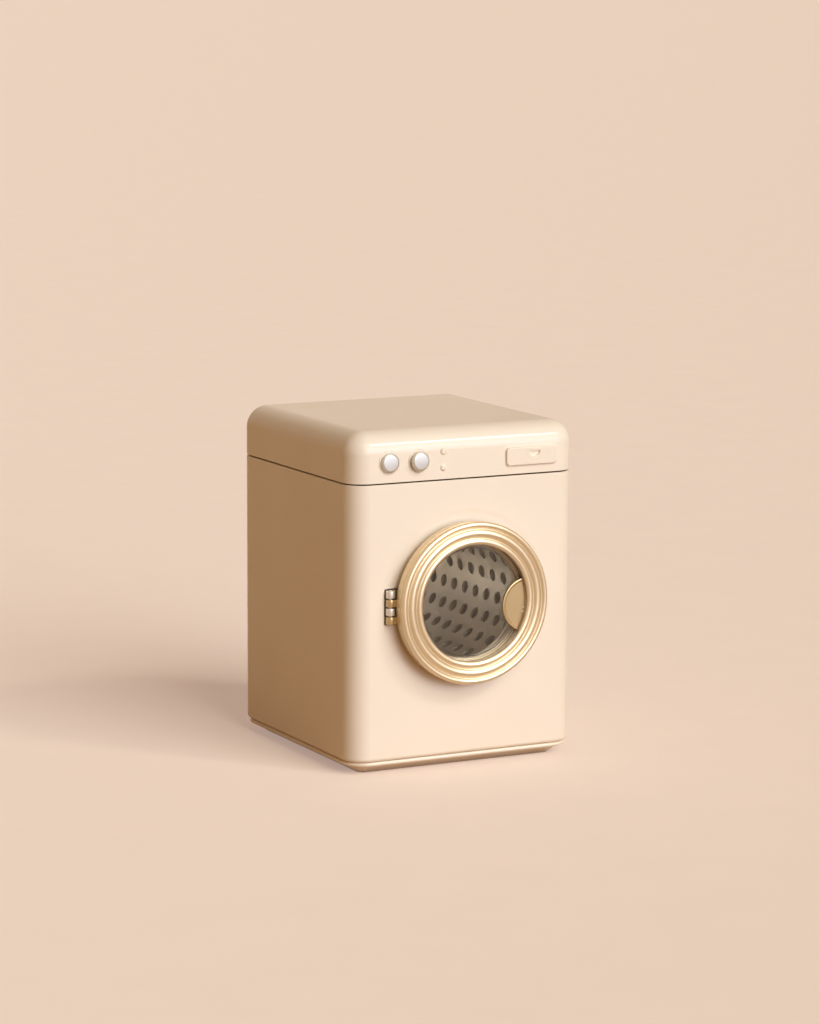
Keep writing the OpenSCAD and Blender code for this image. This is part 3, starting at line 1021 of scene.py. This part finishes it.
    def build_cover(self) -> None:
        """Draw the cover, with its bosses, dots and drawer front pressed out of the front."""
        piece = self.box("cover", self.seam, self.height)
        self.pick_rim(self.height)
        round_off(self.top_edge, 20)
        pick(Part.FACES, lambda _, way: way.z < -ALONG)
        bpy.ops.mesh.delete(type="FACE")
        self.thicken(piece)
        self.ease_rim(piece, self.seam)
        knobs = [LAYOUT.out_of_front(x, LAYOUT.knobs_z) for x in LAYOUT.knobs_x]
        for axis in knobs:
            combine(piece, lathe("hole", self.drill(self.knob_hole), axis, 48), Join.CUT)
        true_up(smooth(piece), on_flat)
        hole, low, r = self.knob_hole, -self.root, self.boss
        root, crown = [(hole, low), (r + self.root, low)], arc(r - 0.3, -0.2, 0.35, 40, 90, 5)
        boss = [*root, *self.foot_of(r, 0.2), *crown, (hole, 0.15)]
        for axis in knobs:
            self.press_out(piece, lathe("boss", boss, axis, 96))
        r = self.dot
        root, crown = [(0, low), (r + 0.2, low)], arc(r - 0.6, -0.05, 0.55, 20, 90, 6)
        dot = [*root, *self.foot_of(r, 0.15), *crown, (0, 0.5)]
        x, *heights = self.dots
        for z in heights:
            self.press_out(piece, lathe("dot", dot, LAYOUT.out_of_front(x, z), 64))
        self.press_out(piece, combine(self.drawer_front(), self.finger_recess(), Join.CUT))
        finish_piece(piece, "cabinet", "enamel", self.finishes.enamel, "top_cover")

    def drawer_front(self) -> Piece:
        """Model the raised drawer front, with a soft edge and a fillet at its foot.

        Returns:
            The drawer front, rooted inside the wall.
        """
        (x, z, w, h), soft, start = self.drawer, self.drawer_soft, 0.01
        piece = block(
            "drawer_front",
            (x - w / 2 - soft, LAYOUT.face - start, z - h / 2 - soft),
            (x + w / 2 + soft, LAYOUT.face + 0.6, z + h / 2 + soft),
        )
        edit(piece)
        pick(Part.EDGES, lambda _, way: abs(way.y) > ALONG)
        round_off(self.drawer_corner + soft, 8)
        pick(Part.FACES, lambda _, way: way.y < -ALONG)
        done_in, done_out = 0.0, start
        turns = [(math.sin(math.radians(a)), 1 - math.cos(math.radians(a))) for a in (30, 50, 70, 90)]
        slope = [(soft * across, soft * up) for across, up in turns]
        slope += [(2 * soft - a, self.drawer_rise - b) for a, b in reversed(slope)]
        slope.append((2 * soft, self.drawer_rise))
        for inwards, outwards in slope:
            rise = (outwards - done_out) * MM
            bpy.ops.mesh.extrude_region_move(TRANSFORM_OT_translate={"value": (0, -rise, 0)})
            self.draw_in(inwards - done_in, x, z)
            done_in, done_out = inwards, outwards
        clear_bench()
        return piece

    def draw_in(self, step: float, x: float, z: float) -> None:
        """Move the selected face's outline inwards by a step, towards the middle of the drawer front.

        Args:
            step: How far it moves, in millimetres.
            x: Place of the middle across the front, in millimetres.
            z: Height of the middle, in millimetres.
        """
        bm = bmesh.from_edit_mesh(bpy.context.object.data)
        points = [v for v in bm.verts if v.select]
        half_w = max(abs(v.co.x / MM - x) for v in points)
        half_h = max(abs(v.co.z / MM - z) for v in points)
        bpy.ops.transform.resize(
            value=((half_w - step) / half_w, 1, (half_h - step) / half_h),
            center_override=(x * MM, 0, z * MM),
        )

    def finger_recess(self) -> Piece:
        """Model the cutter for the half-moon recess in the drawer front.

        Returns:
            The cutter.
        """
        across, up, radius, depth = self.cup
        x, z = self.drawer[0] + across, self.drawer[1] + up
        floor, top = self.drawer_rise - depth, self.drawer_rise + 0.1
        section = rounded([(0, floor, 0), (radius - 0.4, floor, 0.2), (radius, top, 0), (0, top, 0)])
        piece = lathe("finger_recess", section, LAYOUT.out_of_front(x, z), 64)
        edit(piece)
        bpy.ops.mesh.select_all(action="SELECT")
        bpy.ops.mesh.bisect(
            plane_co=(x * MM, 0, z * MM),
            plane_no=(0, 0, 1),
            clear_outer=True,
            use_fill=True,
            threshold=1e-7,
        )
        clear_bench()
        return piece

    def build(self) -> None:
        """Build and dress every piece of the cabinet."""
        self.build_shell()
        self.build_cover()
        plinth = Carried("base_pan", "plinth_pan", "cabinet", "enamel", 0.08, 2, 50)
        plinth.dress(self.finishes.enamel)


# ---- Door ----


@dataclass
class Door:
    """Beaded ring with its window, backing ring, finger pull, magnet and rivets, all sizes in millimetres.

    Heights are measured outwards from the front wall.

    Args:
        finishes: The machine's finishes.
        axis: The door's axis, from the front wall outwards.
        back: Height of the ring's back.
        window_r: Radius of the visible window.
        rebate_r: Radius of the rebate that the window lies in.
        seat: Height of the shoulder that the window bears on.
        pane: Thickness of the window.
        dome: Rise of its dome.
        step_r: Radius of the moulded step round the dome.
        wall_r: Radius of the ring's side wall.
        beads: Radius from the axis, height and radius of each bead's arc, from the rim inwards.
        groove: Radius of the rounded grooves between the beads.
        pull: Place of the centre of the finger pull's round edge, across and up, and its radius.
        pull_heights: Heights of the pull's back, of its face and of its rolled edge.
        pull_trim: Radius round the door's axis that the pull is trimmed to.
        solder: Places of the solder spots, across and up.
    """

    finishes: Finishes
    axis: Axis = LAYOUT.out_of_front(0.0, LAYOUT.door_z)
    back: float = 2.2
    window_r: float = 17.9
    rebate_r: float = 20.4
    seat: float = 3.6
    pane: float = 0.6
    dome: float = 0.5
    step_r: float = 16.9
    wall_r: float = 24.85
    beads: tuple[tuple[float, float, float], ...] = (
        (24.05, 6.1, 0.95),
        (21.5, 5.85, 1.4),
        (18.95, 5.95, 1.15),
    )
    groove: float = 0.3
    pull: tuple[float, float, float] = (18.5, 49.9, 8.5)
    pull_heights: tuple[float, float, float] = (4.6, 5.2, 5.55)
    pull_trim: float = 17.85
    solder: tuple[tuple[float, float], ...] = ((17.3, 49.1), (17.0, 47.8))

    def beaded_face(self) -> Section:
        """Run the beads into each other with rounded grooves, from the rim inwards.

        Returns:
            The points in order.
        """
        points: Section = []
        groove = self.groove
        first = -58.0
        for (x, y, r), (next_x, next_y, next_r) in zip(self.beads, self.beads[1:]):
            apart = math.hypot(next_x - x, next_y - y)
            a, b = r + groove, next_r + groove
            reach = (a * a - b * b + apart * apart) / (2 * apart)
            lift = math.sqrt(a * a - reach * reach)
            ux, uy = (next_x - x) / apart, (next_y - y) / apart
            cx, cy = x + ux * reach + uy * lift, y + uy * reach - ux * lift
            last = math.degrees(math.atan2(cy - y, cx - x))
            points += arc(x, y, r, first, last, 16)
            start = math.degrees(math.atan2(y - cy, x - cx))
            end = math.degrees(math.atan2(next_y - cy, next_x - cx))
            points += arc(cx, cy, groove, start, end, 8)[1:-1]
            first = math.degrees(math.atan2(cy - next_y, cx - next_x))
        x, y, r = self.beads[-1]
        return points + arc(x, y, r, first, 180 - math.degrees(math.acos((x - self.window_r) / r)), 18)

    def build_ring(self) -> None:
        """Spin the ring from its section, with a fine groove under the rim bead."""
        _, rim_y, rim_r = self.beads[0]
        section = rounded(
            [
                (self.window_r, self.seat, 0.05),
                (self.rebate_r, self.seat, 0.05),
                (self.rebate_r, self.back, 0.1),
                (self.wall_r, self.back, 0.2),
                (self.wall_r, rim_y - rim_r - 0.15, 0.12),
            ],
            3,
        )
        piece = lathe("ring", section + self.beaded_face(), self.axis, 192)
        finish_piece(smooth(piece), "door", "brass", self.finishes.brass, "door_ring")

    def build_window(self) -> None:
        """Spin the window, whose dome rises from a moulded step inside its flat edge."""
        step_rise = 0.3
        outer, inner = self.window_r + 2.4, self.step_r - step_rise
        rise = self.dome - step_rise
        ball = (inner**2 + rise**2) / (2 * rise)
        top: Section = [(outer, self.seat), (self.step_r + 0.1, self.seat)]
        top += arc(self.step_r, self.seat + 0.1, 0.1, 270, 200, 3)
        for step in range(25):
            x = inner * (1 - step / 24)
            top.append((x, self.seat + self.dome - ball + math.sqrt(ball * ball - x * x)))
        section = top + [(x, y - self.pane) for x, y in reversed(top)]
        piece = lathe("window_pane", section, self.axis, 160)
        finish_piece(smooth(piece), "door", "window", self.finishes.clear, "door_window")

    def build_backing(self) -> None:
        """Spin the ring that holds the window in its rebate."""
        inner, outer, front = self.window_r, self.rebate_r - 0.1, self.seat - self.pane
        back = self.back
        corners = [(inner, back, 0.12), (outer, back, 0.12), (outer, front, 0.05), (inner, front, 0.2)]
        section = rounded(corners, 3)
        piece = lathe("backing_ring", section, self.axis, 160)
        finish_piece(smooth(piece), "door", "brass", self.finishes.brass, "door_backing_ring")

    def build_pull(self) -> None:
        """Press the finger pull with its rolled edge, and trim it to the window."""
        x, z, radius = self.pull
        back, face, edge = self.pull_heights
        section = rounded(
            [
                (0, back, 0),
                (radius, back, 0.25),
                (radius, edge, 0.32),
                (radius - 0.7, edge, 0.32),
                (radius - 0.9, face, 0.3),
                (0, face, 0),
            ]
        )
        piece = lathe("finger_pull", section, LAYOUT.out_of_front(x, z), 160)
        trim, low, high = self.pull_trim, back - 0.6, edge + 0.45
        keep = lathe("trim", [(0, low), (trim, low), (trim, high), (0, high)], self.axis, 192)
        combine(piece, keep, Join.KEEP)
        ease(piece, 0.08)
        finish_piece(smooth(piece), "door", "brass", self.finishes.pressed_brass, "door_pull")

    def build_solder(self) -> None:
        """Drop the solder spots that hold the pull to the ring, each a copy of the first."""
        low = self.pull_heights[1] - 0.05
        spot = rounded([(0, low, 0), (0.3, low, 0), (0.22, low + 0.17, 0.15), (0, low + 0.19, 0)])
        x, z = self.solder[0]
        first = smooth(lathe("solder_spot_1", spot, LAYOUT.out_of_front(x, z), 16))
        spots = [first]
        for i, (other_x, other_z) in enumerate(self.solder[1:]):
            take(first)
            bpy.ops.object.duplicate(linked=False)
            copy = bpy.context.object
            copy.name = f"solder_spot_{i + 2}"
            copy.location = ((other_x - x) * MM, 0, (other_z - z) * MM)
            spots.append(settle(copy))
        for piece in spots:
            finish_piece(piece, "door", "brass", self.finishes.plate)

    def build(self) -> None:
        """Build and dress every piece of the door."""
        self.build_ring()
        self.build_window()
        self.build_backing()
        self.build_pull()
        self.build_solder()
        rivets = Carried("hinge_rivets_door", "door_rivets", "door", "brass")
        rivets.dress(self.finishes.pressed_brass)
        Carried("door_magnet", "magnet", "cabinet", "magnet", 0.1).dress(self.finishes.ferrite)


# ---- Hinge ----


@dataclass
class Hinge:
    """Rolled knuckles, straps and pin of the four-knuckle hinge.

    Args:
        finishes: The machine's finishes.
        edge: Rounding of the knuckles' ends, in millimetres.
        pin_edge: Rounding of the pin's ends, in millimetres.
    """

    finishes: Finishes
    edge: float = 0.18
    pin_edge: float = 0.06

    def build(self) -> None:
        """Build and dress every piece of the hinge."""
        plate, brass = self.finishes.plate, self.finishes.pressed_brass
        Carried("hinge_leaf_body", "body_leaf", "cabinet", "silver", self.edge, 3).dress(plate)
        Carried("hinge_leaf_door", "door_leaf", "door", "brass", self.edge, 3).dress(brass)
        Carried("hinge_pin", "pin", "cabinet", "silver", self.pin_edge).dress(plate)
        Carried("hinge_rivets_body", "body_rivets", "cabinet", "silver").dress(plate)


# ---- Knobs ----


@dataclass
class Knobs:
    """The two knobs and their clips, all sizes in millimetres.

    Args:
        finishes: The machine's finishes.
        foot: How far each head's back stands out of the front wall.
        radius: Radius of a head.
        height: Height of a head.
        shank_r: Radius of a shank.
        shank: Length of a shank.
    """

    finishes: Finishes
    foot: tuple[float, float] = (0.4, 1.0)
    radius: float = 2.95
    height: float = 1.0
    shank_r: float = 0.9
    shank: float = 2.35

    def build(self) -> None:
        """Turn both knobs and press their clips."""
        for i, side in enumerate(("left", "right")):
            foot, axis = self.foot[i], LAYOUT.out_of_front(LAYOUT.knobs_x[i], LAYOUT.knobs_z)
            head = rounded(
                [
                    (0, foot - self.shank, 0),
                    (self.shank_r, foot - self.shank, 0.1),
                    (self.shank_r, foot, 0),
                    (self.radius, foot, 0.12),
                    (self.radius, foot + 0.5, 0.3),
                    (self.radius - 0.6, foot + self.height - 0.03, 0.45),
                    (0, foot + self.height, 0),
                ]
            )
            piece = smooth(lathe(f"{side}_knob", head, axis, 96))
            finish_piece(piece, f"knob_{side}", "silver", self.finishes.knobs[i], f"knob_{side}")
            clip = Carried(f"knob_{side}_clip", f"{side}_clip", f"knob_{side}", "hardware", 0.06)
            clip.dress(self.finishes.zinc)


# ---- Drum ----


@dataclass
class Drum:
    """Perforated drum on its axle.

    Args:
        finishes: The machine's finishes.
        easing: Rounding of the back plate's and the bush's edges, in millimetres.
        axle_easing: Rounding of the edges of the axle and what is on it, in millimetres.
        wall_lean: Least share of a face's normal that points away from the axle where it is the wall's.
    """

    finishes: Finishes
    easing: float = 0.1
    axle_easing: float = 0.08
    wall_lean: float = 0.98

    def on_wall(self, normal: Vector, at: Vector) -> Vector | None:
        """Give the exact normal of the barrel's wall at a corner, for a face that lies on the wall.

        Args:
            normal: The face's normal.
            at: The corner, in millimetres.

        Returns:
            The exact normal, or None for any other face.
        """
        outwards = Vector((at.x, 0.0, at.z - LAYOUT.door_z)).normalized()
        lean = normal.dot(outwards)
        return outwards * math.copysign(1.0, lean) if abs(lean) > self.wall_lean else None

    def build(self) -> None:
        """Build and dress every piece of the drum and its axle."""
        tin, brass = self.finishes.drum, self.finishes.pressed_brass
        plate, zinc = self.finishes.plate, self.finishes.zinc
        barrel = true_up(smooth(welded_copy("drum_barrel", "barrel")), self.on_wall)
        finish_piece(barrel, "drum", "drum_steel", tin, "drum_barrel")
        Carried("drum_front_ring", "barrel_mouth", "drum", "drum_steel", 0.06, 2, 60).dress(tin)
        Carried("drum_back_plate", "barrel_back", "drum", "drum_steel", self.easing).dress(tin)
        Carried("drum_bush", "bush", "drum", "brass", self.easing).dress(brass)
        for node, name, slot, material in (
            ("drum_axle", "axle", "silver", plate),
            ("axle_plate", "stiffener", "hardware", zinc),
            ("axle_spacer", "spacer", "hardware", zinc),
            ("axle_washer", "washer", "silver", plate),
            ("axle_push_nut", "push_nut", "hardware", zinc),
        ):
            Carried(node, name, "cabinet", slot, self.axle_easing).dress(material)


# ---- Studio ----


@dataclass(frozen=True)
class Lamp:
    """A soft box so far off that its light falls evenly.

    Args:
        name: Its name.
        azimuth: Its direction from the front towards the right, in degrees.
        elevation: Its height above the horizon, in degrees.
        spread: How wide it looks from the machine, in degrees.
        level: Light on a surface that faces it, where 1 shows a colour as written.
        colour: Its colour, in sRGB.
    """

    name: str
    azimuth: float
    elevation: float
    spread: float
    level: float
    colour: str

    def hang(self) -> None:
        """Put the lamp in the scene."""
        lamp = bpy.data.lights.new(self.name, "SUN")
        lamp.angle = math.radians(self.spread)
        lamp.energy = self.level * math.pi
        lamp.color = linear(self.colour)[:3]
        holder = bpy.data.objects.new(self.name, lamp)
        across, up = math.radians(self.azimuth), math.radians(self.elevation)
        towards = Vector((math.sin(across) * math.cos(up), -math.cos(across) * math.cos(up), math.sin(up)))
        holder.location = towards
        holder.rotation_euler = towards.to_track_quat("Z", "Y").to_euler()
        bpy.context.scene.collection.objects.link(holder)


def seen_directly(tree: Tree) -> Socket:
    """Tell whether a surface is seen by the camera, in a mirror or through glass.

    Args:
        tree: Tree that the nodes go in.

    Returns:
        1 where it is seen, and 0 where it only throws its light on other things.
    """
    path = add(tree, "LightPath").outputs
    seen = path["Is Camera Ray"]
    for other in ("Is Glossy Ray", "Is Transmission Ray"):
        seen = add(tree, "Math", {0: seen, 1: path[other]}, operation="MAXIMUM").outputs[0]
    return seen


@dataclass
class Studio:
    """Paper sweep, lamps, surrounding light and camera.

    Args:
        paper: Colour of the paper in the lamps' light, in sRGB.
        paper_far: Colour that the camera and mirror-like faces see mixed into it, so that it stays pale.
        far_share: Share of that colour.
        mottle: Darkest share of the paper's colour in its faint mottling.
        mottle_size: Size of the mottling, in metres.
        sweep: Width of the paper, how far its middle lies behind the machine, and the height that it
            is turned up to at its far edge, in metres.
        bounce: Colour of the paper as its light falls back on the machine.
        ambient: Colour of the surrounding light.
        ambient_level: Its level.
        wall: Colour of the studio's walls as mirror-like faces show them, in sRGB.
        camera_place: The camera's place, in millimetres.
        azimuth: The camera's direction from the front towards the right, in degrees.
        elevation: How far the camera looks down, in degrees.
        roll: The camera's roll, in degrees.
        lens: Its focal length on a 36 mm frame.
        lamps: The lamps.
    """

    paper: str = "#ffedd6"
    paper_far: str = "#fde4d6"
    far_share: float = 0.36
    mottle: float = 0.94
    mottle_size: float = 0.025
    sweep: tuple[float, float, float] = (60.0, 25.0, 20.0)
    bounce: str = "#d4ac74"
    ambient: str = "#ffbc60"
    ambient_level: float = 0.175
    wall: str = "#efdac8"
    camera_place: tuple[float, float, float] = (-499.7, -976.9, 247.2)
    azimuth: float = -27.155
    elevation: float = 9.01
    roll: float = 0.194
    lens: float = 124.51
    lamps: tuple[Lamp, ...] = (
        Lamp("Key", 12, 33, 48, 0.55, "#fffef4"),
        Lamp("Front fill", 14, 7, 46, 0.695, "#cbd9fb"),
        Lamp("Small lamp", 36, 40, 7, 0.12, "#ffffff"),
    )

    def lay_paper(self) -> None:
        """Lay the paper: a wide floor that runs far behind the machine before it is turned up."""
        clear_bench()
        size, middle, rise = self.sweep
        bpy.ops.mesh.primitive_plane_add(size=size, location=(0, middle, 0))
        paper = bpy.context.object
        paper.name = "Paper"
        settle(paper)
        edit(paper)
        pick(Part.EDGES, lambda at, way: at.y > middle / MM and abs(way.x) > ALONG)
        bpy.ops.mesh.extrude_region_move(TRANSFORM_OT_translate={"value": (0, 0, rise)})
        take(paper)
        bpy.ops.object.shade_smooth_by_angle(angle=math.radians(60))
        paper.data.materials.append(self.paper_material())

    def paper_material(self) -> Material:
        """Build matt paper, which is seen pale, even and faintly mottled, and throws back warmer light.

        Returns:
            The material.
        """
        material, tree, place = empty_material("Matt studio paper")
        mottle = add(tree, "TexNoise", {"Vector": place, "Scale": 1 / self.mottle_size, "Detail": 4.0})
        seen = seen_directly(tree)
        pale = linear(self.paper)
        dark = (*[self.mottle * c for c in pale[:3]], 1.0)
        tone = add(tree, "Mix", {0: mottle.outputs["Fac"], 6: pale, 7: dark}, data_type="RGBA")
        tone = add(tree, "Mix", {0: seen, 6: linear(self.bounce), 7: tone.outputs[2]}, data_type="RGBA")
        matt = add(tree, "BsdfDiffuse", {"Color": tone.outputs[2], "Roughness": 0.3})
        glow = add(tree, "Emission", {"Color": linear(self.paper_far), "Strength": 1.0})
        share = add(tree, "Math", {0: seen, 1: self.far_share}, operation="MULTIPLY")
        shaders = {0: share.outputs[0], 1: matt.outputs["BSDF"], 2: glow.outputs["Emission"]}
        mixed = add(tree, "MixShader", shaders)
        add(tree, "OutputMaterial", {"Surface": mixed.outputs["Shader"]})
        return material

    def light(self) -> None:
        """Hang the lamps and set the surrounding light."""
        for lamp in self.lamps:
            lamp.hang()
        world = bpy.data.worlds.new("Studio")
        bpy.context.scene.world = world
        world.use_nodes = True
        tree = world.node_tree
        tree.nodes.clear()
        glow = add(tree, "Background", {"Color": linear(self.ambient), "Strength": self.ambient_level})
        wall = add(tree, "Background", {"Color": linear(self.wall), "Strength": 1.0})
        mixed = add(tree, "MixShader", {0: seen_directly(tree), 1: glow.outputs[0], 2: wall.outputs[0]})
        add(tree, "OutputWorld", {"Surface": mixed.outputs["Shader"]})

    def set_camera(self) -> None:
        """Stand the camera at the machine's front left, a little above it."""
        camera = bpy.data.cameras.new("Camera")
        camera.lens, camera.sensor_width = self.lens, 36.0
        camera.clip_start, camera.clip_end = 0.05, 2 * self.sweep[0]
        holder = bpy.data.objects.new("Camera", camera)
        a, e, r = (math.radians(angle) for angle in (self.azimuth, self.elevation, self.roll))
        back = Vector((math.sin(a) * math.cos(e), -math.cos(a) * math.cos(e), math.sin(e)))
        level = Vector((math.cos(a), math.sin(a), 0))
        upright = back.cross(level)
        right = math.cos(r) * level + math.sin(r) * upright
        turn = Matrix((right, back.cross(right), back)).transposed()
        holder.matrix_world = Matrix.Translation(Vector(self.camera_place) * MM) @ turn.to_4x4()
        bpy.context.scene.collection.objects.link(holder)
        bpy.context.scene.camera = holder

    def build(self) -> None:
        """Set up the whole studio."""
        self.lay_paper()
        self.light()
        self.set_camera()
        bpy.context.scene.view_settings.view_transform = "Standard"


def main() -> None:
    """Build the machine and its studio."""
    logging.basicConfig(level=logging.INFO, format="%(name)s: %(message)s")
    finishes = Finishes()
    machine = [assembly(finishes) for assembly in (Cabinet, Door, Hinge, Knobs, Drum)]
    for assembly in (*machine, Studio()):
        assembly.build()
        LOG.info("%s done", type(assembly).__name__)
    clear_bench()


if __name__ == "__main__":
    main()
